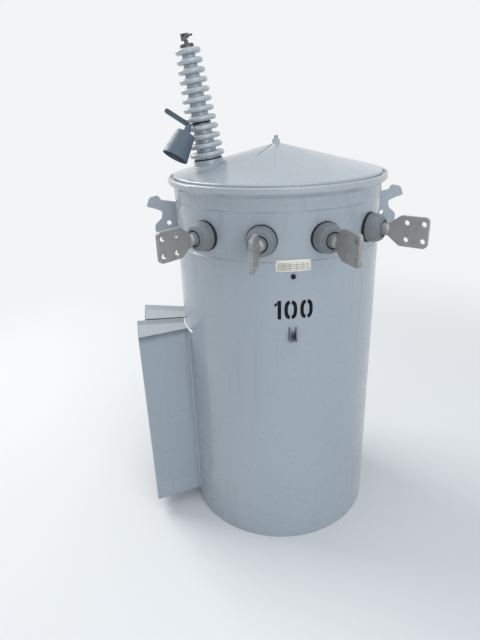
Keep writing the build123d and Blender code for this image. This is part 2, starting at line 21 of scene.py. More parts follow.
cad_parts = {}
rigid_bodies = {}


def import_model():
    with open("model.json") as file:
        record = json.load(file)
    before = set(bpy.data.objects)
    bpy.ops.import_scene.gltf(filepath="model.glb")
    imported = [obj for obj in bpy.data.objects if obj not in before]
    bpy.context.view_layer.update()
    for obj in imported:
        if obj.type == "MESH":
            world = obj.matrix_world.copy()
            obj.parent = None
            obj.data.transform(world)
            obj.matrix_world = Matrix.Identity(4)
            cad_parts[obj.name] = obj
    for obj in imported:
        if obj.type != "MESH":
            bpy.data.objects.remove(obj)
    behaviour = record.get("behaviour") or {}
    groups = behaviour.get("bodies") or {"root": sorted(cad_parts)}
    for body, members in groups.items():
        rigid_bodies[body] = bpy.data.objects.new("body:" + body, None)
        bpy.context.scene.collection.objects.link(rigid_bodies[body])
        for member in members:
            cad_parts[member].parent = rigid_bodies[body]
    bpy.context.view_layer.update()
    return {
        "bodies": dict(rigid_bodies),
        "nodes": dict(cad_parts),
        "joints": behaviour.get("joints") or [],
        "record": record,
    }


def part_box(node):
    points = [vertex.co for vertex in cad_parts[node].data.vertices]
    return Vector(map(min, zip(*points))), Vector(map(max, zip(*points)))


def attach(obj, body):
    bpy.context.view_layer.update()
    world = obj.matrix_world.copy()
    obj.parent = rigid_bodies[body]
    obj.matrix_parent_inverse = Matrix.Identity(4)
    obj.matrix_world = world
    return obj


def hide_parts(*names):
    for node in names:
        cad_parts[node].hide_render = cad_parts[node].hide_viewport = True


log = logging.getLogger("transformer")

BODY = "root"
NUMBER, COLOUR, VECTOR = "NodeSocketFloat", "NodeSocketColor", "NodeSocketVector"
QUARTER_TURN = math.radians(90)
SHARP_EDGE = math.radians(40)
WELD_STEPS = 60

Colour = tuple[float, float, float, float]
Point = tuple[float, float, float]


class Slot(Enum):
    """The record's material slots, passed along with new pieces."""

    PAINT = "tank_paint"
    COOLER_PAINT = "cooler_paint"
    FASTENER = "zinc_fastener"
    RUBBER = "gasket_rubber"


def paint_chip(red: int, green: int, blue: int) -> Colour:
    """Linear colour of a paint chip given as 0-255 display values.

    Args:
        red: display red.
        green: display green.
        blue: display blue.

    Returns:
        Linear red, green, blue and an alpha of one.
    """
    share = np.array([red, green, blue]) / 255.0
    linear = np.where(share <= 0.04045, share / 12.92, ((share + 0.055) / 1.055) ** 2.4)
    return (*linear.tolist(), 1.0)


class Wiring:
    """Adds nodes to one shader tree and links them."""

    def __init__(self, tree: bpy.types.NodeTree) -> None:
        """Starts on a tree, whose nodes are kept."""
        self.tree = tree

    def connect(self, node: bpy.types.Node, inputs: dict) -> None:
        """Sets or links a node's inputs.

        Args:
            node: the node.
            inputs: a number, a colour, a signal or another node's output for each input, by name or index.
        """
        for name, value in inputs.items():
            value = getattr(value, "socket", value)
            if isinstance(value, bpy.types.NodeSocket):
                self.tree.links.new(value, node.inputs[name])
            else:
                node.inputs[name].default_value = value

    def node(self, kind: str, inputs: dict | None = None, **settings: object) -> bpy.types.Node:
        """Adds one node.

        Args:
            kind: Blender's name of the node type.
            inputs: what each input socket gets, by name or index.
            settings: the node's own properties.

        Returns:
            The new node.
        """
        node = self.tree.nodes.new(kind)
        for name, value in settings.items():
            setattr(node, name, value)
        self.connect(node, inputs or {})
        return node

    def add(self, kind: str, inputs: dict | None = None, out: int | str = 0, **settings: object) -> Signal:
        """Adds one node, as node() does; returns one of its outputs, the first unless out names another."""
        return Signal(self, self.node(kind, inputs, **settings).outputs[out])


class Signal:
    """A node's output on its way through a shader tree; arithmetic on it adds math nodes."""

    def __init__(self, wiring: Wiring, socket: bpy.types.NodeSocket) -> None:
        """Holds one output of a node in a tree."""
        self.wiring = wiring
        self.socket = socket

    def step(self, operation: str, *values: object) -> Signal:
        """One arithmetic step on numbers or signals; returns its result."""
        return self.wiring.add("ShaderNodeMath", dict(enumerate(values)), operation=operation)

    def __add__(self, other: object) -> Signal:
        """This plus another."""
        return self.step("ADD", self, other)

    def __sub__(self, other: object) -> Signal:
        """This less another."""
        return self.step("SUBTRACT", self, other)

    def __rsub__(self, other: object) -> Signal:
        """Another less this."""
        return self.step("SUBTRACT", other, self)

    def __mul__(self, other: object) -> Signal:
        """This times another."""
        return self.step("MULTIPLY", self, other)

    def __truediv__(self, other: object) -> Signal:
        """This divided by another."""
        return self.step("DIVIDE", self, other)

    def __lt__(self, other: object) -> Signal:
        """One where this is less than another, otherwise nought."""
        return self.step("LESS_THAN", self, other)

    def __abs__(self) -> Signal:
        """This without its sign."""
        return self.step("ABSOLUTE", self)

    def least(self, other: object) -> Signal:
        """The smaller of this and another."""
        return self.step("MINIMUM", self, other)

    def most(self, other: object) -> Signal:
        """The larger of this and another."""
        return self.step("MAXIMUM", self, other)

    def pingpong(self, span: float) -> Signal:
        """Rises from nought to the span and falls back, again and again."""
        return self.step("PINGPONG", self, span)

    def held(self) -> Signal:
        """The same result of arithmetic, held between nought and one."""
        self.socket.node.use_clamp = True
        return self

    def remap(self, low: float, high: float, to_low: float = 0.0, to_high: float = 1.0) -> Signal:
        """Smooth step from one range of values to another."""
        inputs = {"Value": self, "From Min": low, "From Max": high, "To Min": to_low, "To Max": to_high}
        return self.wiring.add("ShaderNodeMapRange", inputs, interpolation_type="SMOOTHSTEP")

    def blend(self, first: object, second: object, how: str = "MIX") -> Signal:
        """Mixes two colours, with this as the second one's share."""
        inputs = {0: self, 6: first, 7: second}
        return self.wiring.add("ShaderNodeMix", inputs, 2, data_type="RGBA", blend_type=how)

    def noise(self, scale: object, detail: float = 3.0, rough: float = 0.5) -> Signal:
        """Fractal noise between 0 and 1 over these coordinates, at a scale per metre."""
        return self.wiring.add("ShaderNodeTexNoise", {"Vector": self, "Scale": scale, "Detail": detail,
                                                      "Roughness": rough})

    def stretched(self, scale: Point) -> Signal:
        """These coordinates scaled by axis, for grain and streaks that run one way."""
        return self.wiring.add("ShaderNodeMapping", {"Vector": self, "Scale": scale})

    def along(self, direction: object) -> Signal:
        """How far this vector goes in a direction: their dot product."""
        return self.wiring.add("ShaderNodeVectorMath", {0: self, 1: direction}, "Value", operation="DOT_PRODUCT")

    def parts(self) -> list[Signal]:
        """This vector's x, y and z."""
        node = self.wiring.node("ShaderNodeSeparateXYZ", {0: self})
        return [Signal(self.wiring, outlet) for outlet in node.outputs]


class Surface(Wiring):
    """Wiring of one material, with its Principled shader and its object coordinates."""

    def __init__(self, material: bpy.types.Material) -> None:
        """Clears a material's tree and starts it afresh.

        Args:
            material: the material that the surface is wired for.
        """
        material.use_nodes = True
        material.node_tree.nodes.clear()
        super().__init__(material.node_tree)
        self.shader = self.node("ShaderNodeBsdfPrincipled")
        self.end = self.node("ShaderNodeOutputMaterial", {"Surface": self.shader.outputs[0]})
        self.where = self.add("ShaderNodeTexCoord", out="Object")

    def feed(self, inputs: dict) -> None:
        """Sets or links several of the shader's sockets at once."""
        self.connect(self.shader, inputs)

    def relief(self, height: Signal, strength: float = 1.0, depth: float = 1.0) -> None:
        """Feeds a height in as a bump.

        Args:
            height: the height's signal.
            strength: how much of it shows.
            depth: what a height of one stands for, in metres.
        """
        bump = {"Strength": strength, "Distance": depth, "Height": height}
        self.feed({"Normal": self.add("ShaderNodeBump", bump)})


@dataclass(frozen=True)
class Effect:
    """A shader group that several finishes share: its sockets, and what fills it."""

    name: str
    inputs: dict[str, str]
    outputs: dict[str, str]
    fill: Callable[[Wiring, dict[str, Signal]], dict[str, Signal]]

    def tree(self) -> bpy.types.NodeTree:
        """The group's tree, filled the first time it is asked for.

        Returns:
            The filled shader tree.
        """
        made = bpy.data.node_groups.get(self.name)
        if made:
            return made
        tree = bpy.data.node_groups.new(self.name, "ShaderNodeTree")
        for name, kind in {"Vector": VECTOR, **self.inputs}.items():
            tree.interface.new_socket(name, in_out="INPUT", socket_type=kind)
        for name, kind in self.outputs.items():
            tree.interface.new_socket(name, in_out="OUTPUT", socket_type=kind)
        wiring = Wiring(tree)
        entry = wiring.node("NodeGroupInput")
        at = {socket.name: Signal(wiring, socket) for socket in entry.outputs if socket.name}
        wiring.node("NodeGroupOutput", self.fill(wiring, at))
        return tree

    def place(self, on: Surface, inputs: dict) -> dict[str, Signal]:
        """Puts the group into a material, at its object coordinates.

        Args:
            on: the material's surface.
            inputs: a value or a signal for each of the group's other sockets.

        Returns:
            The placed group's outputs by name.
        """
        node = on.node("ShaderNodeGroup", {"Vector": on.where, **inputs}, node_tree=self.tree())
        return {name: Signal(on, node.outputs[name]) for name in self.outputs}


def fill_mottle(on: Wiring, at: dict[str, Signal]) -> dict[str, Signal]:
    """Colour whose value drifts in clouds, with a finer grain on them.

    Args:
        on: the group's wiring.
        at: its inputs by name.

    Returns:
        The toned colour.
    """
    cloud = at["Vector"].noise(at["Scale"], 4.0, 0.55)
    grain = at["Vector"].noise(at["Scale"] * 9.0)
    shift = (cloud * 0.7 + grain * 0.3 - 0.5) * (at["Amount"] * 2.0)
    return {"Colour": on.add("ShaderNodeHueSaturation", {"Color": at["Colour"], "Value": shift + 1.0})}


def fill_weather(on: Wiring, at: dict[str, Signal]) -> dict[str, Signal]:
    """Streaks that run down upright faces in patches, and specks of dust on faces that look up.

    Args:
        on: the group's wiring.
        at: its inputs by name.

    Returns:
        The masks of the streaks and of the dust.
    """
    lean = on.add("ShaderNodeNewGeometry", out="Normal").parts()[2]
    upright = abs(lean).remap(0.2, 0.6, 1.0, 0.0)
    runs = at["Vector"].stretched((55, 55, 1.6)).noise(1.0).remap(0.52, 0.74)
    patches = at["Vector"].noise(3.2, 2.0).remap(0.4, 0.68)
    specks = at["Vector"].noise(130.0, 5.0, 0.7).remap(0.42, 0.72)
    return {"Streaks": runs * patches * upright * at["Streaks"], "Dust": lean.remap(0.3, 0.95) * specks * at["Dust"]}


def fill_worn_edge(on: Wiring, at: dict[str, Signal]) -> dict[str, Signal]:
    """Broken mask along edges, where the rounded normal turns away from the true one.

    Args:
        on: the group's wiring.
        at: its inputs by name.

    Returns:
        The mask.
    """
    rounded = on.add("ShaderNodeBevel", {"Radius": at["Radius"]}, samples=4)
    turn = on.add("ShaderNodeNewGeometry", out="Normal").along(rounded)
    broken = at["Vector"].noise(60.0, 4.0, 0.6).remap(0.38, 0.62)
    return {"Mask": turn.remap(0.985, 0.85) * broken * at["Amount"]}


def fill_shade_and_grime(on: Wiring, at: dict[str, Signal]) -> dict[str, Signal]:
    """Patchy mask of painted shade and grime in corners and hollows, where little of the surroundings is open.

    Args:
        on: the group's wiring.
        at: its inputs by name.

    Returns:
        The mask.
    """
    hollow = on.add("ShaderNodeAmbientOcclusion", {"Distance": at["Distance"]}, "AO", samples=12).remap(0.6, 0.12)
    patchy = at["Vector"].noise(45.0, 4.0, 0.6).remap(0.25, 0.65, 0.6, 1.0)
    return {"Mask": hollow * patchy * at["Amount"]}


def fill_peel(on: Wiring, at: dict[str, Signal]) -> dict[str, Signal]:
    """Height of sprayed enamel: fine cells on slow waves.

    Args:
        on: the group's wiring.
        at: its inputs by name.

    Returns:
        The height.
    """
    cells = on.add("ShaderNodeTexVoronoi", at, "Distance", feature="SMOOTH_F1")
    return {"Height": cells + at["Vector"].noise(at["Scale"] * 0.12, 2.0) * 1.5}


def fill_casting(on: Wiring, at: dict[str, Signal]) -> dict[str, Signal]:
    """Height of a cast or moulded face: grain with shallow pits.

    Args:
        on: the group's wiring.
        at: its inputs by name.

    Returns:
        The height.
    """
    pits = on.add("ShaderNodeTexVoronoi", at, "Distance")
    return {"Height": at["Vector"].noise(at["Scale"], 5.0, 0.65) + pits * 0.4}


MOTTLE = Effect("mottle", {"Colour": COLOUR, "Scale": NUMBER, "Amount": NUMBER}, {"Colour": COLOUR}, fill_mottle)
WEATHER = Effect("weather", {"Streaks": NUMBER, "Dust": NUMBER}, {"Streaks": NUMBER, "Dust": NUMBER}, fill_weather)
WORN_EDGE = Effect("worn_edge", {"Radius": NUMBER, "Amount": NUMBER}, {"Mask": NUMBER}, fill_worn_edge)
# Painted shade with grime: an ambient occlusion mask that darkens corners and hollows, where shade falls.
SHADE_AND_GRIME = Effect("grime", {"Distance": NUMBER, "Amount": NUMBER}, {"Mask": NUMBER}, fill_shade_and_grime)
PEEL = Effect("orange_peel", {"Scale": NUMBER}, {"Height": NUMBER}, fill_peel)
CASTING = Effect("casting", {"Scale": NUMBER}, {"Height": NUMBER}, fill_casting)


@dataclass(frozen=True)
class Finish:
    """What every finish has: a name, a colour, a roughness and how it makes its material."""

    name: str
    colour: Colour
    roughness: float

    def wire(self, on: Surface) -> None:
        """Wires the finish into a surface; each finish has its own."""
        raise NotImplementedError

    def material(self) -> bpy.types.Material:
        """The finish as a material, made the first time it is asked for.

        Returns:
            The wired material.
        """
        made = bpy.data.materials.get(self.name)
        if made:
            return made
        material = bpy.data.materials.new(self.name)
        self.wire(Surface(material))
        material.diffuse_color = self.colour
        return material

    def mottled(self, on: Surface, scale: float, amount: float) -> Signal:
        """The finish's colour with its value drifting by an amount."""
        return MOTTLE.place(on, {"Colour": self.colour, "Scale": scale, "Amount": amount})["Colour"]

    def uneven(self, noise: Signal, spread: float, high: float = 0.7) -> Signal:
        """Roughness that goes up by a spread as a noise goes from 0.3 to its high."""
        return noise.remap(0.3, high, self.roughness, self.roughness + spread)


@dataclass(frozen=True)
class Enamel(Finish):
    """Gloss spray enamel with orange peel, rain streaks, settled dust, rubbed edges and painted shade with grime in
    corners.
    """

    streaks: float = 0.3
    dust: float = 0.25
    wear: float = 0.3
    gloss: float = 0.5
    rub: float = 0.0022
    shelter: float = 0.010
    peel_scale: float = 320.0
    peel_height: float = 0.000036
    dust_colour: Colour = paint_chip(176, 174, 166)
    streak_colour: Colour = paint_chip(122, 129, 134)
    shade_and_grime_colour: Colour = paint_chip(168, 172, 172)
    edge_colour: Colour = paint_chip(196, 204, 208)

    def wire(self, on: Surface) -> None:
        """Paint tone, then streaks, painted shade and grime in corners, light edges and dust on top.

        Args:
            on: the surface of the material.
        """
        tone = self.mottled(on, 5.0, 0.055)
        weather = WEATHER.place(on, {"Streaks": self.streaks, "Dust": self.dust})
        grime = SHADE_AND_GRIME.place(on, {"Distance": self.shelter, "Amount": 0.3})["Mask"]
        edge = WORN_EDGE.place(on, {"Radius": self.rub, "Amount": self.wear})["Mask"]
        colour = weather["Streaks"].blend(self.tint(on, tone), self.streak_colour)
        # Painted shade and grime: the colour is multiplied darker where ambient occlusion finds a corner.
        colour = grime.blend(colour, self.shade_and_grime_colour, "MULTIPLY")
        colour = weather["Dust"].blend(edge.blend(colour, self.edge_colour), self.dust_colour)
        rough = self.uneven(on.where.noise(14.0, 4.0, 0.6), 0.16, 0.75) + weather["Dust"] * 0.35
        coat = (1.0 - weather["Dust"]).held() * self.gloss
        on.feed({"Base Color": colour, "Roughness": rough.held(), "Coat Weight": coat, "Coat Roughness": 0.08})
        peel = PEEL.place(on, {"Scale": self.peel_scale})["Height"] * self.peel_height
        on.relief(self.form(on, peel))

    def form(self, on: Surface, height: Signal) -> Signal:
        """Height in metres that the bump shows; plain enamel shows its orange peel alone."""
        return height

    def tint(self, on: Surface, colour: Signal) -> Signal:
        """Paint tone with what has marked it in one place; plain enamel has no such mark."""
        return colour


@dataclass(frozen=True)
class TankEnamel(Enamel):
    """Tank enamel, with painted shade on the wall between the cheeks of the tie-down eye."""

    half_width: float = 0.0085
    low: float = 0.713
    high: float = 0.752
    painted_eye_shade: Colour = paint_chip(40, 52, 67)

    def tint(self, on: Surface, colour: Signal) -> Signal:
        """Painted shade with soft edges, deepest at its foot, on the front of the wall.

        Args:
            on: the surface of the material.
            colour: the paint tone.

        Returns:
            The tone with the painted shade on it.
        """
        x, y, z = on.where.parts()
        across = abs(x).remap(self.half_width, self.half_width + 0.0015, 1.0, 0.0)
        up = z.remap(self.low - 0.003, self.low) * z.remap(self.low + 0.016, self.high, 0.95, 0.0)
        # Painted shade between the cheeks, where the eye shades the wall.
        return (across * up * (y < 0.0)).blend(colour, self.painted_eye_shade)


@dataclass(frozen=True)
class CoverEnamel(Enamel):
    """Cover enamel with a painted shade and a painted highlight on the flanks of the pressed groove beside the apex.
    """

    along: Point = (-0.5736, -0.8192, 0.0)
    across: Point = (0.8192, -0.5736, 0.0)
    near: float = 0.02
    far: float = 0.112
    half_width: float = 0.0075
    ridge: float = 0.001
    painted_shade: Colour = paint_chip(112, 126, 138)
    painted_highlight: Colour = paint_chip(226, 236, 242)

    def tint(self, on: Surface, colour: Signal) -> Signal:
        """Painted shade on the left flank and painted highlight on the right flank, both fading from the groove's near
        end to its far end.

        Args:
            on: the surface of the material.
            colour: the paint tone.

        Returns:
            The tone with both flanks on it.
        """
        out, side = on.where.along(self.along), on.where.along(self.across)
        fade = out.remap(self.near - 0.008, self.near) * out.remap(self.near, self.far, 1.0, 0.4)
        fade = fade * out.remap(self.far - 0.003, self.far + 0.005, 1.0, 0.0)
        # Painted shade on the left flank, painted highlight on the right flank.
        left = side.remap(-self.half_width - 0.002, -self.half_width + 0.003)
        left = left * side.remap(-self.ridge, self.ridge, 1.0, 0.0)
        right = side.remap(-self.ridge, self.ridge) * side.remap(self.half_width - 0.004, self.half_width, 1.0, 0.0)
        return (right * fade).blend((left * fade).blend(colour, self.painted_shade), self.painted_highlight)


@dataclass(frozen=True)
class JacketEnamel(Enamel):
    """Enamel on a cooling box's folded jacket, with the crease above its foot and painted shade under its top edge."""

    crease: float = 0.109
    lean: float = 0.25
    top: float = 0.675
    band: float = 0.022
    ragged: float = 0.014
    painted_shade: Colour = paint_chip(168, 176, 184)

    def form(self, on: Surface, height: Signal) -> Signal:
        """Below the crease the sheet leans out: lean * (crease - z)."""
        return height + (self.crease - on.where.parts()[2]).most(0.0) * self.lean

    def tint(self, on: Surface, colour: Signal) -> Signal:
        """Painted shade that thins out downwards from the top edge, with a ragged foot.

        Args:
            on: the surface of the material.
            colour: the paint tone.

        Returns:
            The tone with the painted shade on it.
        """
        # Painted shade under the top edge, where the lid's edge shades the sheet.
        foot = on.where.stretched((40, 40, 8)).noise(1.0) * self.ragged
        share = (on.where.parts()[2] - foot).remap(self.top - self.band - self.ragged, self.top - 0.006)
        return share.blend(colour, self.painted_shade, "MULTIPLY")


@dataclass(frozen=True)
class LidEnamel(Enamel):
    """Enamel on a cooling box's top plate, pressed down along a line beside its rear edge."""

    across: Point = (0.0, -1.0, 0.0)
    edge: float = 0.0055
    strip: float = 0.037
    fall: float = 0.22
    rise: float = 0.05
    shade: Colour = paint_chip(206, 209, 210)

    def form(self, on: Surface, height: Signal) -> Signal:
        """Falls at one slope from the rear edge to the pressed line, then rises at another beyond it."""
        inside = on.where.along(self.across) - self.edge
        return height + (inside.least(self.strip) * -self.fall + (inside - self.strip).most(0.0) * self.rise)

    def tint(self, on: Surface, colour: Signal) -> Signal:
        """Painted shade on the sloping strip, up to the pressed line.

        Args:
            on: the surface of the material.
            colour: the paint tone.

        Returns:
            The tone with the painted shade on it.
        """
        # Painted shade on the strip that slopes away from the light.
        line = self.edge + self.strip
        share = on.where.along(self.across).remap(line - 0.004, line + 0.003, 1.0, 0.0)
        return share.blend(colour, self.shade, "MULTIPLY")


@dataclass(frozen=True)
class Glaze(Finish):
    """Fired porcelain glaze: wet gloss, soft waves and dust on the sheds."""

    dust: float = 0.3
    dust_colour: Colour = paint_chip(172, 174, 172)

    def wire(self, on: Surface) -> None:
        """Glaze tone with dust and a slow wave in the surface.

        Args:
            on: the surface of the material.
        """
        tone = self.mottled(on, 16.0, 0.07)
        dust = WEATHER.place(on, {"Streaks": 0.0, "Dust": self.dust})["Dust"]
        rough = (dust * 0.45 + self.roughness).held()
        on.feed({"Base Color": dust.blend(tone, self.dust_colour), "Roughness": rough, "Coat Weight": 0.6,
                 "Coat Roughness": 0.1})
        on.relief(on.where.noise(55.0, 2.0), 0.05, 0.0012)


@dataclass(frozen=True)
class Moulding(Finish):
    """Moulded plastic or epoxy with a fine grain, chalky bloom and pale edges."""

    bloom: Colour = paint_chip(170, 176, 180)
    shelter: float = 0.008
    painted_shade: Colour = paint_chip(150, 152, 154)
    dust: float = 0.3
    rub: float = 0.0011
    grain: float = 900.0

    def wire(self, on: Surface) -> None:
        """Body colour with painted shade in hollows, light edges, bloom on top and a fine grain.

        Args:
            on: the surface of the material.
        """
        tone = self.mottled(on, 22.0, 0.12)
        dust = WEATHER.place(on, {"Streaks": 0.0, "Dust": self.dust})["Dust"]
        edge = WORN_EDGE.place(on, {"Radius": self.rub, "Amount": 0.25})["Mask"]
        grime = SHADE_AND_GRIME.place(on, {"Distance": self.shelter, "Amount": 0.7})["Mask"]
        # Painted shade: hollows found by ambient occlusion are multiplied darker.
        colour = edge.blend(grime.blend(tone, self.painted_shade, "MULTIPLY"), self.bloom)
        rough = self.uneven(on.where.noise(80.0, 4.0), 0.14)
        on.feed({"Base Color": dust.blend(colour, self.bloom), "Roughness": rough})
        on.relief(CASTING.place(on, {"Scale": self.grain})["Height"], 0.16, 0.0003)


@dataclass(frozen=True)
class PlatedMetal(Finish):
    """Plated cast or rolled metal: stains, fine scratches and brighter rubbed edges, which on the tinned spades also
    stand in as a painted highlight.
    """

    stain: Colour = paint_chip(96, 92, 86)
    bright: Colour = paint_chip(205, 205, 200)
    metallic: float = 0.85
    rub: float = 0.0012
    grain: float = 420.0

    def wire(self, on: Surface) -> None:
        """Metal tone, stains from slow noise, scratches across and bright edges.

        Args:
            on: the surface of the material.
        """
        tone = self.mottled(on, 30.0, 0.16)
        stained = on.where.noise(24.0, 6.0, 0.65).remap(0.48, 0.72, 0.0, 0.75)
        edge = WORN_EDGE.place(on, {"Radius": self.rub, "Amount": 0.7})["Mask"]
        scratch = on.where.stretched((90, 90, 1400)).noise(1.0, 2.0).remap(0.6, 0.78)
        colour = (scratch * 0.18).blend(stained.blend(tone, self.stain), self.bright)
        rough = (stained * 0.2 + self.roughness - edge * 0.15).held()
        metal = (self.metallic - stained * 0.35).held()
        on.feed({"Base Color": edge.blend(colour, self.bright), "Roughness": rough, "Metallic": metal})
        on.relief(CASTING.place(on, {"Scale": self.grain})["Height"] - scratch * 0.3, 0.2, 0.0004)


@dataclass(frozen=True)
class Rubber(Finish):
    """Black moulded rubber or nylon, greyed by dust."""

    bloom: Colour = paint_chip(74, 74, 72)
    grain: float = 800.0

    def wire(self, on: Surface) -> None:
        """Dark body with a grey bloom and a pebbled grain.

        Args:
            on: the surface of the material.
        """
        colour = on.where.noise(70.0, 5.0, 0.6).remap(0.4, 0.8, 0.0, 0.12).blend(self.colour, self.bloom)
        rough = self.uneven(on.where.noise(110.0), 0.2)
        on.feed({"Base Color": colour, "Roughness": rough, "Specular IOR Level": 0.25})
        on.relief(CASTING.place(on, {"Scale": self.grain})["Height"], 0.25, 0.0003)


@dataclass(frozen=True)
class RatingPlate(Finish):
    """Thin bare aluminium with a ruled, blank table etched into it under a plain header.

    The table's places are shares of the plate's half width and half height, counted from its middle.
    """

    half_width: float = 0.0455
    centre_height: float = 0.9265
    half_height: float = 0.0155
    table_side: float = 0.90
    table_middle: float = -0.18
    table_reach: float = 0.66
    row: float = 0.33
    column: float = 0.36
    brushed_colour: Colour = paint_chip(222, 222, 218)
    ink: Colour = paint_chip(62, 64, 68)

    def wire(self, on: Surface) -> None:
        """Brushed metal; rows are bands in height, columns bands across, inside a margin.

        Args:
            on: the surface of the material.
        """
        brushed = on.where.stretched((30, 30, 2600)).noise(1.0, 2.0)
        x, _, z = on.where.parts()
        across, up = x / self.half_width, (z - self.centre_height) / self.half_height
        table = (abs(across) < self.table_side) * (abs(up - self.table_middle) < self.table_reach)
        rows = (up - (self.table_middle - self.table_reach)).pingpong(self.row / 2) < 0.055
        columns = (across + self.table_side).pingpong(self.column / 2) < 0.012
        ruled = rows.most(columns) * table
        first = table * (across < self.column * 2 - self.table_side)
        tone = brushed.remap(0.3, 0.7).blend(self.colour, self.brushed_colour)
        colour = (ruled * 0.75).blend((first * 0.15).blend(tone, self.ink), self.ink)
        on.feed({"Base Color": colour, "Roughness": self.uneven(brushed, 0.15), "Metallic": 0.8 - ruled * 0.6})
        on.relief(brushed - ruled, 0.15, 0.0002)


@dataclass(frozen=True)
class StencilInk(Finish):
    """Sprayed stencil paint, thin at its edges and worn through in places."""

    under: Colour = paint_chip(150, 158, 163)

    def wire(self, on: Surface) -> None:
        """Ink over the paint's own tone, where a speckle lets the paint show.

        Args:
            on: the surface of the material.
        """
        worn = on.where.noise(420.0, 5.0, 0.7).remap(0.62, 0.82, 0.0, 0.35)
        cloud = on.where.noise(60.0).remap(0.4, 0.85, 0.0, 0.03)
        rough = self.uneven(on.where.noise(150.0), 0.2)
        on.feed({"Base Color": worn.most(cloud).blend(self.colour, self.under), "Roughness": rough,
                 "Specular IOR Level": 0.15})
        on.relief(on.where.noise(700.0), 0.15, 0.0002)


def seen(on: Wiring) -> Signal:
    """One for rays from the camera, in reflections and through glass, otherwise nought.

    Args:
        on: the wiring of a material or of the world.

    Returns:
        One or nought.
    """
    path = on.node("ShaderNodeLightPath").outputs
    camera, glossy, through = [Signal(on, path[f"Is {kind} Ray"]) for kind in ("Camera", "Glossy", "Transmission")]
    return camera.most(glossy.most(through))


@dataclass(frozen=True)
class Backdrop(Finish):
    """Pale studio floor that takes the object's shadow and fades into the backdrop's own colour."""

    near: float = 0.9
    far: float = 3.0

    def wire(self, on: Surface) -> None:
        """Even tone with a slow, slight change, then the backdrop's glow from near to far.

        Args:
            on: the surface of the material.
        """
        on.feed({"Base Color": self.mottled(on, 0.6, 0.012), "Roughness": self.roughness})
        away = on.add("ShaderNodeVectorMath", {0: on.where}, "Value", operation="LENGTH")
        share = away.remap(self.near, self.far) * seen(on)
        glow = on.add("ShaderNodeEmission", {"Color": BACKDROP_TONE, "Strength": 1.0})
        on.connect(on.end, {"Surface": on.add("ShaderNodeMixShader", {0: share, 1: on.shader.outputs[0], 2: glow})})


BACKDROP_TONE = paint_chip(243, 244, 245)
GREY = paint_chip(160, 170, 178)

TANK_PAINT = TankEnamel("tank_enamel", GREY, 0.24)
COVER_PAINT = CoverEnamel("cover_enamel", GREY, 0.24, streaks=0.0, dust=0.16)
# The cooler's jacket and lids are the tank's grey made a little darker, as painted shade; the jacket's wide pale edges
# are partly wear and partly a painted highlight.
JACKET_SHADED_PAINT = JacketEnamel("jacket_enamel", paint_chip(152, 162, 170), 0.26, streaks=0.22, dust=0.2, wear=0.6)
FRONT_LID_SHADED_PAINT = LidEnamel("front_lid_enamel", paint_chip(150, 161, 166), 0.26, streaks=0.0, dust=0.2)
REAR_LID_SHADED_PAINT = LidEnamel("rear_lid_enamel", paint_chip(152, 164, 171), 0.26, streaks=0.0, dust=0.2,
                           across=(-0.2622, -0.9650, 0.0), edge=-0.0147, strip=0.042, fall=0.14,
                           shade=paint_chip(232, 234, 236))
# Darker copy of the tank's enamel for the tie-down eye and its beads: painted shade.
SHADED_EYE_PAINT = Enamel("eye_enamel", paint_chip(92, 103, 116), 0.45, streaks=0.0, dust=0.1, wear=0.0, gloss=0.2)
BAND_PAINT = Enamel("band_enamel", paint_chip(166, 174, 180), 0.24, streaks=0.1, dust=0.4, wear=0.7)
BEAD_PAINT = Enamel("bead_enamel", paint_chip(168, 177, 182), 0.2, streaks=0.0, dust=0.2, wear=0.2)
# Pale, glossy paint on the cooler's top bead: a painted highlight where the bead catches the light.
CROWN_BEAD_HIGHLIGHT_PAINT = Enamel("crown_bead_enamel", paint_chip(206, 213, 217), 0.16, streaks=0.0, dust=0.05, wear=0.2,
                          gloss=0.9)
PORCELAIN = Glaze("grey_glaze", paint_chip(172, 181, 187), 0.3)
# The bushing's near-black painted shade darkens the groove round each hub.
BUSHING = Moulding("bushing_moulding", paint_chip(121, 127, 131), 0.4, bloom=paint_chip(156, 162, 166),
                   shelter=0.014, painted_shade=paint_chip(40, 42, 44))
# The guard's painted shade darkens the inside of the hood.
GUARD = Moulding("guard_moulding", paint_chip(84, 99, 111), 0.42, bloom=paint_chip(138, 150, 159), shelter=0.05,
                 painted_shade=paint_chip(70, 72, 74))
# Tinned spades: the wide, pale rubbed edges are partly wear and partly a painted highlight along their top edges.
TINNED = PlatedMetal("tinned_casting", paint_chip(155, 155, 154), 0.45, stain=paint_chip(126, 126, 126),
                     bright=paint_chip(224, 224, 220), metallic=0.55, rub=0.0022)
WEATHERED = PlatedMetal("weathered_cap", paint_chip(88, 90, 92), 0.46, stain=paint_chip(60, 60, 60), metallic=0.7)
ZINC = PlatedMetal("zinc_plate", paint_chip(168, 166, 156), 0.34, metallic=0.9)
GASKET = Rubber("gasket_rubber", paint_chip(15, 16, 18), 0.62)
STRAP = Rubber("tie_nylon", paint_chip(9, 9, 11), 0.45)
PLUG = Rubber("plug_face", paint_chip(12, 13, 15), 0.5)
PLATE = RatingPlate("plate_metal", paint_chip(210, 207, 192), 0.34)
INK = StencilInk("stencil_ink", paint_chip(14, 15, 20), 0.6)
FLOOR = Backdrop("studio_floor", paint_chip(228, 229, 229), 0.9)


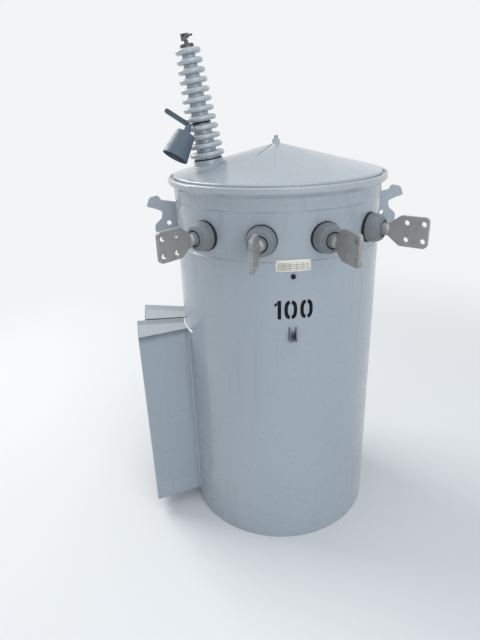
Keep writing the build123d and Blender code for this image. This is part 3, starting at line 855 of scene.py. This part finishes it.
def skin(name: str, points: np.ndarray, wrap_rows: bool = False, wrap_columns: bool = False) -> bpy.types.Mesh:
    """Mesh of quads over a grid of points, its doubles merged and its faces turned outwards.

    Args:
        name: the mesh's name.
        points: rows by columns by 3 coordinates in metres.
        wrap_rows: whether the last row joins the first.
        wrap_columns: whether the last column joins the first.

    Returns:
        The mesh, smooth shaded.
    """
    rows, columns = points.shape[:2]
    index = np.arange(rows * columns).reshape(rows, columns)
    if wrap_rows:
        index = np.vstack([index, index[:1]])
    if wrap_columns:
        index = np.hstack([index, index[:, :1]])
    quads = np.stack([index[:-1, :-1], index[:-1, 1:], index[1:, 1:], index[1:, :-1]], axis=-1).reshape(-1, 4)
    mesh = bpy.data.meshes.new(name)
    mesh.from_pydata(points.reshape(-1, 3).tolist(), [], quads.tolist())
    tidy = bmesh.new()
    tidy.from_mesh(mesh)
    bmesh.ops.remove_doubles(tidy, verts=tidy.verts, dist=1e-6)
    bmesh.ops.dissolve_degenerate(tidy, edges=tidy.edges, dist=1e-7)
    bmesh.ops.recalc_face_normals(tidy, faces=tidy.faces)
    tidy.to_mesh(mesh)
    tidy.free()
    mesh.polygons.foreach_set("use_smooth", np.ones(len(mesh.polygons), dtype=bool))
    return mesh


def full_turn(steps: int) -> np.ndarray:
    """Angles of a full turn in equal steps, its end left out."""
    return np.linspace(0.0, 2 * np.pi, steps, endpoint=False)


def spin(profile: np.ndarray, steps: int) -> np.ndarray:
    """Grid of a profile turned round +Z: (r cos t, r sin t, z) for t in equal steps.

    Args:
        profile: (radius, height) rows.
        steps: how many steps make the full turn.

    Returns:
        Profile rows by steps by 3 coordinates.
    """
    turn = full_turn(steps)
    radius, height = profile[:, :1], profile[:, 1:2]
    return np.stack(np.broadcast_arrays(radius * np.cos(turn), radius * np.sin(turn), height), axis=-1)


def slab(outline: np.ndarray, low: float, high: float, chamfer: float) -> np.ndarray:
    """Grid of a plate: its closed outline at four stations across, drawn in by the chamfer at both faces.

    The rows are the outline's middle, the outline drawn in at the low face, the outline one chamfer in from
    it, the same two at the high face, and the middle again.

    Args:
        outline: (out, up) rows in order round the plate.
        low: the low face's place across.
        high: the high face's place across.
        chamfer: how far the edges are broken.

    Returns:
        Six rows by outline points by 3 coordinates (across, -out, up).
    """
    middle = np.broadcast_to(outline.mean(axis=0), outline.shape)
    inwards = middle - outline
    drawn = outline + inwards / np.linalg.norm(inwards, axis=1, keepdims=True) * chamfer
    rows = [(middle, low), (drawn, low), (outline, low + chamfer), (outline, high - chamfer), (drawn, high),
            (middle, high)]
    return np.stack([np.stack([np.full(len(row), across), -row[:, 0], row[:, 1]], axis=-1) for row, across in rows])


def joined(name: str, *meshes: bpy.types.Mesh) -> bpy.types.Mesh:
    """One mesh of several, its edges over 40 degrees kept sharp.

    Args:
        name: the new mesh's name.
        meshes: the meshes, which are used up.

    Returns:
        The new mesh.
    """
    whole = bmesh.new()
    for mesh in meshes:
        whole.from_mesh(mesh)
        bpy.data.meshes.remove(mesh)
    made = bpy.data.meshes.new(name)
    whole.to_mesh(made)
    whole.free()
    made.set_sharp_from_angle(angle=SHARP_EDGE)
    return made


def on_tank(radius: np.ndarray, angle: np.ndarray, height: np.ndarray) -> np.ndarray:
    """Points round the tank: (r sin a, -r cos a, z), the angle counted from the front in radians."""
    radius, angle, height = np.broadcast_arrays(radius, angle, height)
    return np.stack([radius * np.sin(angle), -radius * np.cos(angle), height], axis=-1)


def show(name: str, content: bpy.types.ID) -> bpy.types.Object:
    """Puts a mesh, lamp or camera into the scene.

    Args:
        name: the new object's name.
        content: the mesh, lamp or camera.

    Returns:
        The new object.
    """
    made = bpy.data.objects.new(name, content)
    bpy.context.scene.collection.objects.link(made)
    return made


@dataclass(frozen=True)
class WeldBead:
    """A rippled bead laid along a joint."""

    size: float = 0.0032
    ripple: float = 0.0046
    swell: float = 0.14
    sides: int = 10
    steps_a_ripple: int = 3

    def along(self, name: str, corners: np.ndarray, closed: bool = False) -> bpy.types.Mesh:
        """Circle carried along a path, its radius r (1 + swell |sin(pi s / ripple)|), drawn in at open ends.

        The radius falls to nothing over the last bead's width of an open path, as the square root of the
        distance to the end. The circle's two axes are across the path and away from the tank's axis.

        Args:
            name: the mesh's name.
            corners: the path's points in order, 3 coordinates each.
            closed: whether the path runs back to its start.

        Returns:
            The bead's mesh.
        """
        if closed:
            corners = np.vstack([corners, corners[:1]])
        run = np.concatenate([[0.0], np.cumsum(np.linalg.norm(np.diff(corners, axis=0), axis=1))])
        count = max(8, int(round(run[-1] / self.ripple * self.steps_a_ripple)))
        at = np.linspace(0.0, run[-1], count, endpoint=not closed)
        path = np.stack([np.interp(at, run, corners[:, axis]) for axis in range(3)], axis=-1)
        ahead = np.roll(path, -1, axis=0) - np.roll(path, 1, axis=0) if closed else np.gradient(path, axis=0)
        ahead /= np.linalg.norm(ahead, axis=1, keepdims=True)
        side = np.cross(ahead, path * (1.0, 1.0, 0.0))
        side /= np.linalg.norm(side, axis=1, keepdims=True)
        away = np.cross(side, ahead)
        radius = self.size * (1 + self.swell * np.abs(np.sin(np.pi * at / self.ripple)))
        if not closed:
            to_end = np.minimum(at, run[-1] - at) / (2 * self.size)
            radius = radius * np.sqrt(np.clip(to_end, 0.0, 1.0))
        turn = full_turn(self.sides)[None, :, None]
        ring = np.cos(turn) * side[:, None, :] + np.sin(turn) * away[:, None, :]
        return skin(name, path[:, None, :] + radius[:, None, None] * ring, wrap_rows=closed, wrap_columns=True)


@dataclass
class SubAssembly:
    """Part of the transformer: its CAD nodes, and how it dresses them and adds to them."""

    frame: dict
    wall: np.ndarray = field(init=False, repr=False)

    def __post_init__(self) -> None:
        """Reads the tank's outer profile: for each level of its vertices, the largest radius."""
        points = self.points("tank_shell")
        level = np.round(points[:, 2], 5)
        radius = np.hypot(points[:, 0], points[:, 1])
        levels = np.unique(level)
        self.wall = np.stack([levels, [radius[level == one].max() for one in levels]], axis=-1)

    def points(self, node: str) -> np.ndarray:
        """A CAD node's vertices.

        Args:
            node: the CAD node's name.

        Returns:
            Rows of 3 coordinates in metres.
        """
        mesh = self.frame["nodes"][node].data
        flat = np.empty(len(mesh.vertices) * 3, dtype=np.float32)
        mesh.vertices.foreach_get("co", flat)
        return flat.reshape(-1, 3).astype(float)

    def wall_radius(self, height: np.ndarray) -> np.ndarray:
        """The tank's outer radius at some heights."""
        return np.interp(height, self.wall[:, 0], self.wall[:, 1])

    def root(self, node: str) -> tuple[float, float, float, float]:
        """Where a node meets the tank's wall.

        Args:
            node: the CAD node's name.

        Returns:
            Its lowest and highest angle in radians and its lowest and highest level in metres.
        """
        points = self.points(node)
        radius = np.hypot(points[:, 0], points[:, 1])
        met = points[np.abs(radius - self.wall_radius(points[:, 2])) < 0.0004]
        angle = np.unwrap(np.sort(np.arctan2(met[:, 0], -met[:, 1])))
        if angle[-1] - angle[0] > np.pi:
            angle = np.sort(np.mod(angle, 2 * np.pi))
        return float(angle[0]), float(angle[-1]), float(met[:, 2].min()), float(met[:, 2].max())

    def dress(self, finish: Finish, *nodes: str) -> None:
        """Gives CAD nodes a finish.

        Args:
            finish: the finish.
            nodes: the CAD nodes' names.
        """
        material = finish.material()
        for node in nodes:
            piece = self.frame["nodes"][node]
            if not piece.material_slots:
                piece.data.materials.append(material)
            for place in piece.material_slots:
                place.material = material
            log.info("%s: %s", node, finish.name)

    def add(self, mesh: bpy.types.Mesh, finish: Finish, slot: Slot = Slot.PAINT) -> bpy.types.Object:
        """Adds a new piece that rides on the transformer.

        Args:
            mesh: the piece's mesh, already in place.
            finish: its finish.
            slot: the record's material slot it belongs to; not used.

        Returns:
            The new object.
        """
        mesh.materials.append(finish.material())
        piece = show(mesh.name, mesh)
        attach(piece, BODY)
        log.info("%s: added, %s", mesh.name, finish.name)
        return piece

    def weld(self, name: str, angles: tuple[float, float], heights: tuple[float, float], bead: WeldBead,
             slot: Slot = Slot.PAINT) -> None:
        """Bead on the wall: (wall radius at z, angle, z) in even steps.

        Args:
            name: the bead's name.
            angles: its first and last angle in radians.
            heights: its first and last height in metres.
            bead: its size.
            slot: the record's material slot it belongs to.
        """
        angle, height = np.linspace(*angles, WELD_STEPS), np.linspace(*heights, WELD_STEPS)
        self.add(bead.along(name, on_tank(self.wall_radius(height), angle, height)), BEAD_PAINT, slot)


@dataclass
class Tank(SubAssembly):
    """Rolled tank with its bottom, level plug and rolled seam."""

    seam_angle: float = math.radians(150.0)
    seam_foot: float = 0.004
    seam_below_lip: float = 0.034
    seam: WeldBead = WeldBead(size=0.0021, ripple=0.004)

    def build(self) -> None:
        """Dresses the tank and welds its seam."""
        self.dress(TANK_PAINT, "tank_shell", "tank_bottom", "strap_hook")
        self.dress(PLUG, "level_plug")
        low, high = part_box("tank_shell")
        heights = low.z + self.seam_foot, high.z - self.seam_below_lip
        self.weld("tank_seam", (self.seam_angle, self.seam_angle), heights, self.seam)


@dataclass
class TieDownEye(SubAssembly):
    """Two cheeks welded on the front with a round bar across their feet, in the strap hook's place."""

    cheek: float = 0.0028
    chamfer: float = 0.0005
    bar_radius: float = 0.0030
    bead: WeldBead = WeldBead(size=0.0018)

    def build(self) -> None:
        """Builds the cheeks and the bar as one piece and welds each cheek outside."""
        low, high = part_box("strap_hook")
        wall, reach = float(self.wall_radius(np.array([high.z]))[0]), -low.y
        outline = np.array([(wall - 0.002, low.z), (wall - 0.002, high.z), (wall + 0.0012, high.z),
                            (wall + 0.0050, high.z - 0.006), (reach - 0.0012, low.z + 0.006),
                            (reach, low.z + 0.0035), (reach - 0.0012, low.z + 0.0008), (reach - 0.004, low.z)])
        cheeks = [skin("cheek", slab(outline, side, side + self.cheek, self.chamfer), wrap_columns=True)
                  for side in (low.x, high.x - self.cheek)]
        eye = self.add(joined("tie_down_eye", *cheeks, self.bar(low, high, reach)), SHADED_EYE_PAINT)
        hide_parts("strap_hook")
        height = np.linspace(low.z, high.z, 40)
        for side, across in (("left", low.x), ("right", high.x)):
            path = on_tank(self.wall_radius(height), math.asin(across / wall), height)
            self.add(self.bead.along(f"eye_weld_{side}", path), SHADED_EYE_PAINT)

    def bar(self, low: Vector, high: Vector, reach: float) -> bpy.types.Mesh:
        """Round bar between the cheeks: a circle carried from one cheek's middle to the other's.

        Args:
            low: the eye's lowest corner.
            high: its highest corner.
            reach: how far the cheeks stand out from the tank's axis.

        Returns:
            The bar's mesh.
        """
        across = np.array([low.x + self.cheek / 2, high.x - self.cheek / 2])[:, None]
        turn = full_turn(20)[None, :]
        out = reach - 0.0048 + self.bar_radius * np.cos(turn)
        up = low.z + 0.0042 + self.bar_radius * np.sin(turn)
        return skin("bar", np.stack(np.broadcast_arrays(across, -out, up), axis=-1), wrap_columns=True)


@dataclass
class Nameplate(SubAssembly):
    """Bare plate under the terminals, with a blank ruled table and four pins."""

    pin_radius: float = 0.0019
    pin_height: float = 0.0012
    inset: float = 0.0042
    sunk: float = 0.0001

    def build(self) -> None:
        """Dresses the plate and adds its pins."""
        self.dress(PLATE, "nameplate")
        low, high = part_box("nameplate")
        radius = -low.y
        share = np.linspace(0.0, np.pi / 2, 7)
        grid = spin(np.stack([self.pin_radius * np.cos(share), self.pin_height * np.sin(share)], axis=-1), 16)
        turn = math.asin(high.x / radius) - self.inset / radius
        pins = [(side, height) for side in (-1, 1) for height in (low.z + self.inset, high.z - self.inset)]
        for number, (side, height) in enumerate(pins, 1):
            place = Matrix.Rotation(side * turn, 4, "Z") @ Matrix.Translation((0, self.sunk - radius, height))
            mesh = skin(f"plate_pin_{number}", grid, wrap_columns=True)
            mesh.transform(place @ Matrix.Rotation(QUARTER_TURN, 4, "X"))
            self.add(mesh, ZINC, Slot.FASTENER)


@dataclass
class RatingStencil(SubAssembly):
    """Plain number sprayed on the wall through a stencil, with the stencil's bridges."""

    number: str = "100"
    centre: float = math.radians(0.4)
    low: float = 0.7772
    high: float = 0.8308
    stroke: float = 0.0095
    round_width: float = 0.0345
    spacing: float = 0.0085
    bridge: float = 0.0042
    squareness: float = 2.6
    lift: float = 0.00025

    def width(self, digit: str) -> float:
        """How wide a digit is."""
        return self.stroke * 1.9 if digit == "1" else self.round_width

    def strokes(self, digit: str) -> list[np.ndarray]:
        """A digit's stencil openings as grids of (across, up) in metres from its lower left corner.

        A one is an upright bar with a slanted flag. A nought is two halves of a rounded ring, whose edge is
        the superellipse |x/a|^n + |y/b|^n = 1, n its squareness, and whose inner edge lies one stroke inside.

        Args:
            digit: "0" or "1".

        Returns:
            Grids of rows by columns by 2.
        """
        tall = self.high - self.low
        if digit == "1":
            across, up = np.meshgrid(np.linspace(0, self.stroke, 3), np.linspace(0, tall, 12))
            bar = np.stack([across + self.stroke * 0.9, up], axis=-1)
            across, up = np.meshgrid(np.linspace(0, self.stroke * 0.85, 4), np.linspace(0, self.stroke * 0.8, 3))
            flag = np.stack([across, up + tall - self.stroke * 1.9 + across * 0.8], axis=-1)
            return [bar, flag]
        halves = []
        half_width, half_height = self.round_width / 2, tall / 2
        gap = self.bridge / 2 / half_width
        inwards = np.linspace(0.0, self.stroke, 4)[:, None]
        for start in (-np.pi / 2, np.pi / 2):
            turn = np.linspace(start + gap, start + np.pi - gap, 40)
            flat, tilt = [np.sign(one) * np.abs(one) ** (2 / self.squareness) for one in (np.cos(turn), np.sin(turn))]
            across = half_width + (half_width - inwards) * flat
            halves.append(np.stack([across, half_height + (half_height - inwards) * tilt], axis=-1))
        return halves

    def build(self) -> None:
        """Wraps each opening's paint round the wall: angle = centre + across / radius."""
        total = sum(self.width(digit) for digit in self.number) + self.spacing * (len(self.number) - 1)
        at = -total / 2
        for place, digit in enumerate(self.number, 1):
            for stroke, flat in enumerate(self.strokes(digit), 1):
                height = self.low + flat[..., 1]
                radius = self.wall_radius(height) + self.lift
                angle = self.centre + (at + flat[..., 0]) / radius
                mesh = skin(f"stencil_{place}_{stroke}", on_tank(radius, angle, height))
                self.face_out(mesh)
                self.add(mesh, INK)
            at += self.width(digit) + self.spacing

    def face_out(self, mesh: bpy.types.Mesh) -> None:
        """Turns an open sheet's faces away from the tank's axis.

        Args:
            mesh: the sheet, turned in place.
        """
        middle = mesh.polygons[0]
        if middle.normal.dot(middle.center * Vector((1, 1, 0))) < 0:
            mesh.flip_normals()


@dataclass
class Cover(SubAssembly):
    """Coned cover with its clamp band, gasket, bolt and apex stud."""

    def build(self) -> None:
        """Dresses the cover and what holds it down."""
        self.dress(COVER_PAINT, "cover", "cover_stud", "hv_boss")
        self.dress(BAND_PAINT, "cover_band")
        self.dress(ZINC, "cover_band_bolt")
        self.dress(GASKET, "cover_gasket")


@dataclass
class HighVoltageBushing(SubAssembly):
    """Shedded porcelain on the cone, with its gasket, cap, eye clamp and boss weld."""

    offset: float = 0.1997
    tilt: float = math.radians(7.7)
    cone_drop: float = 78.0 / 305.0
    tip_radius: float = 0.0035
    tip_reach: float = 0.0045
    tip_rise: float = 0.00295
    bead: WeldBead = WeldBead(size=0.0024)

    def build(self) -> None:
        """Dresses the bushing and welds its boss to the cone."""
        self.dress(PORCELAIN, "hv_bushing")
        self.dress(GASKET, "hv_gasket")
        self.dress(WEATHERED, "hv_cap", "hv_eyebolt", "hv_clamp_bolt")
        self.add(self.bead.along("boss_weld", self.boss_foot(), closed=True), BEAD_PAINT)
        self.add(self.screw_tip(), WEATHERED, Slot.FASTENER)

    def screw_tip(self) -> bpy.types.Mesh:
        """Tip of the clamp screw inside the block's wire hole: a round bar along the block's width.

        Returns:
            The tip's mesh, in place.
        """
        low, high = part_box("hv_eyebolt")
        radius, reach = self.tip_radius, self.tip_reach
        ends = np.array([(0.0, -reach), (radius, -reach), (radius, reach), (0.0, reach)])
        mesh = skin("clamp_screw_tip", spin(ends, 24), wrap_columns=True)
        mesh.set_sharp_from_angle(angle=SHARP_EDGE)
        lean = Matrix.Rotation(-self.tilt, 4, "Y")
        middle = (low + high) / 2 + lean @ Vector((0.0, 0.0, self.tip_rise))
        mesh.transform(Matrix.Translation(middle) @ lean @ Matrix.Rotation(QUARTER_TURN, 4, "Y"))
        return mesh

    def boss_foot(self) -> np.ndarray:
        """Where the tilted boss meets the cone.

        Each point is c + s u + r (cos t v + sin t y), with u along the bushing's axis and v across it, and s
        such that z = apex - drop * distance from the tank's axis, found by repeated substitution.

        Returns:
            The ring's points.
        """
        low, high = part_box("hv_boss")
        apex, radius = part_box("cover")[1].z, (high.y - low.y) / 2
        turn = full_turn(120)
        sine, cosine = math.sin(self.tilt), math.cos(self.tilt)
        deep, rise = radius * np.sin(turn), radius * np.cos(turn) * sine
        base = apex - self.offset * self.cone_drop
        along = np.zeros_like(turn)
        for _ in range(12):
            across = -self.offset - along * sine + radius * np.cos(turn) * cosine
            along = (apex - self.cone_drop * np.hypot(across, deep) - base - rise) / cosine
        return np.stack([across, deep, base + along * cosine + rise], axis=-1)


@dataclass
class WildlifeGuard(SubAssembly):
    """Hood, arm and tie hung on the high-voltage bushing."""

    def build(self) -> None:
        """Dresses the guard."""
        self.dress(GUARD, "guard_hood", "guard_arm")
        self.dress(STRAP, "guard_tie")


@dataclass
class LowVoltageTerminals(SubAssembly):
    """Four bells with their gaskets and spades, and a ring seal in each bell's groove."""

    count: int = 4
    centre: float = math.radians(0.5)
    pitch: float = math.radians(31.4)
    ring_radius: float = 0.0203
    cord_radius: float = 0.0017
    sunk: float = 0.0018

    def build(self) -> None:
        """Dresses each terminal and adds its ring seal."""
        for number in range(1, self.count + 1):
            self.dress(GASKET, f"lv_gasket_{number}")
            self.dress(BUSHING, f"lv_bushing_{number}")
            self.dress(TINNED, f"lv_spade_{number}")
            self.add(self.seal(number), GASKET, Slot.RUBBER)

    def seal(self, number: int) -> bpy.types.Mesh:
        """Ring seal: a circle (R + r cos b, r sin b) turned round the terminal's axis at the groove's mouth.

        Args:
            number: the terminal's number, counted from the left.

        Returns:
            The ring's mesh, in place.
        """
        turn = full_turn(14)
        cord = np.stack([self.ring_radius + self.cord_radius * np.cos(turn), self.cord_radius * np.sin(turn)], axis=-1)
        mesh = skin(f"lv_seal_{number}", spin(cord, 48), wrap_rows=True, wrap_columns=True)
        angle = self.centre + self.pitch * (number - (self.count + 1) / 2)
        bell = self.points(f"lv_bushing_{number}")
        face = float((bell[:, 0] * math.sin(angle) - bell[:, 1] * math.cos(angle)).max())
        low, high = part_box(f"lv_gasket_{number}")
        place = Matrix.Rotation(angle, 4, "Z") @ Matrix.Translation((0.0, self.sunk - face, (low.z + high.z) / 2))
        mesh.transform(place @ Matrix.Rotation(QUARTER_TURN, 4, "X"))
        return mesh


@dataclass
class WeldedFittings(SubAssembly):
    """Lifting lugs and pole lugs with the beads that hold them."""

    bead: WeldBead = WeldBead(size=0.0034)

    def build(self) -> None:
        """Dresses the lugs and welds both sides of each."""
        names = ("lifting_lug_left", "lifting_lug_right", "pole_lug_upper", "pole_lug_lower")
        self.dress(TANK_PAINT, *names)
        for node in names:
            first, last, low, high = self.root(node)
            self.weld(f"{node}_weld_a", (first, first), (low, high), self.bead)
            self.weld(f"{node}_weld_b", (last, last), (low, high), self.bead)


@dataclass
class Coolers(SubAssembly):
    """Pair of folded cooling boxes and the beads round their roots."""

    bead: WeldBead = WeldBead(size=0.003)
    crown: WeldBead = WeldBead(size=0.0029)
    crown_steps: int = 90
    crown_lift: float = 0.0008
    tail: float = math.radians(8.0)

    def build(self) -> None:
        """Dresses both boxes and welds their sides and ends to the tank; the front crown bead runs on."""
        for box, lid, tail in (("front", FRONT_LID_SHADED_PAINT, self.tail), ("rear", REAR_LID_SHADED_PAINT, 0.0)):
            jacket = f"cooler_{box}_jacket"
            self.dress(JACKET_SHADED_PAINT, jacket, f"cooler_{box}_bottom")
            self.dress(lid, f"cooler_{box}_top")
            first, last, low, high = self.root(jacket)
            for name, angles, heights in (("a", (first, first), (low, high)), ("b", (last, last), (low, high)),
                                          ("foot", (first, last), (low, low))):
                self.weld(f"cooler_{box}_weld_{name}", angles, heights, self.bead, Slot.COOLER_PAINT)
            angle = np.linspace(first, last + tail, self.crown_steps)
            path = on_tank(self.wall_radius(high) + self.crown_lift, angle, high)
            bead = self.crown.along(f"cooler_{box}_weld_top", path)
            # The top bead takes the paint that carries the painted highlight.
            self.add(bead, CROWN_BEAD_HIGHLIGHT_PAINT, Slot.COOLER_PAINT)


@dataclass(frozen=True)
class Lamp:
    """Soft square lamp: where it hangs, the point it faces, its watts, linear colour and side in metres."""

    name: str
    place: Point
    aim: Point
    power: float
    colour: tuple[float, float, float]
    size: float = 2.6

    def hang(self) -> None:
        """Puts the lamp into the scene, facing its aim."""
        data = bpy.data.lights.new(self.name, "AREA")
        data.size, data.energy, data.color = self.size, self.power, self.colour
        towards = Vector(self.aim) - Vector(self.place)
        turned = towards.to_track_quat("-Z", "Y").to_matrix().to_4x4()
        show(self.name, data).matrix_world = Matrix.Translation(self.place) @ turned


@dataclass
class Studio:
    """Camera at the photograph's place, soft lamps, pale floor and world."""

    eye: Point = (-0.2162, -1.5382, 1.3123)
    yaw: float = math.radians(3.42)
    pitch: float = math.radians(23.16)
    roll: float = math.radians(2.15)
    focal_pixels: float = 504.6
    long_side_pixels: float = 640.0
    sensor: float = 36.0
    floor_radius: float = 7.0
    world_light: float = 0.55
    lamps: tuple[Lamp, ...] = (
        Lamp("key_back_left", (-2.6, 1.9, 3.4), (0.0, 0.0, 0.9), 125.0, (1.0, 0.98, 0.95)),
        Lamp("top", (0.4, -0.6, 4.2), (0.0, 0.0, 0.6), 38.0, (1.0, 1.0, 1.0)),
        Lamp("fill_front", (1.2, -3.8, 1.9), (0.0, 0.0, 0.7), 56.0, (0.94, 0.97, 1.0)),
    )

    def camera(self) -> None:
        """Aims the camera: yaw to the right, pitch down, then roll about the view."""
        forward = Vector((math.sin(self.yaw) * math.cos(self.pitch), math.cos(self.yaw) * math.cos(self.pitch),
                          -math.sin(self.pitch)))
        level = Vector((math.cos(self.yaw), -math.sin(self.yaw), 0.0))
        down = forward.cross(level)
        right = math.cos(self.roll) * level + math.sin(self.roll) * down
        below = -math.sin(self.roll) * level + math.cos(self.roll) * down
        data = bpy.data.cameras.new("photo_camera")
        data.sensor_width = self.sensor
        data.lens = self.focal_pixels / self.long_side_pixels * self.sensor
        data.clip_start, data.clip_end = 0.05, 60.0
        camera = show("photo_camera", data)
        camera.matrix_world = Matrix.Translation(self.eye) @ Matrix((right, -below, -forward)).transposed().to_4x4()
        bpy.context.scene.camera = camera

    def floor(self) -> None:
        """Round flat floor, rings of points at growing radii round the object."""
        flat = np.stack([np.linspace(0.0, self.floor_radius, 8), np.zeros(8)], axis=-1)
        mesh = skin("studio_floor", spin(flat, 96), wrap_columns=True)
        if mesh.polygons[0].normal.z < 0:
            mesh.flip_normals()
        mesh.materials.append(FLOOR.material())
        floor = show("studio_floor", mesh)

    def world(self) -> None:
        """The backdrop's pale tone to the camera and in reflections, a soft grey as light on the object."""
        world = bpy.data.worlds.new("studio_world")
        world.use_nodes = True
        world.node_tree.nodes.clear()
        on = Wiring(world.node_tree)
        light = on.add("ShaderNodeBackground", {"Color": paint_chip(226, 234, 244), "Strength": self.world_light})
        pale = on.add("ShaderNodeBackground", {"Color": BACKDROP_TONE, "Strength": 1.0})
        on.node("ShaderNodeOutputWorld", {"Surface": on.add("ShaderNodeMixShader", {0: seen(on), 1: light, 2: pale})})
        bpy.context.scene.world = world

    def build(self) -> None:
        """Sets up camera, lamps, floor and world."""
        self.camera()
        for lamp in self.lamps:
            lamp.hang()
        self.floor()
        self.world()
        bpy.context.scene.view_settings.view_transform = "Standard"


def main() -> None:
    """Loads the frame, dresses every sub-assembly and sets the stage."""
    logging.basicConfig(level=logging.INFO, format="%(name)s %(message)s")
    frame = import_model()
    for part in (Tank, TieDownEye, Nameplate, RatingStencil, Cover, HighVoltageBushing, WildlifeGuard,
                 LowVoltageTerminals, WeldedFittings, Coolers):
        part(frame).build()
        log.info("%s done", part.__name__)
    Studio().build()
    bpy.context.view_layer.update()


if __name__ == "__main__":
    main()
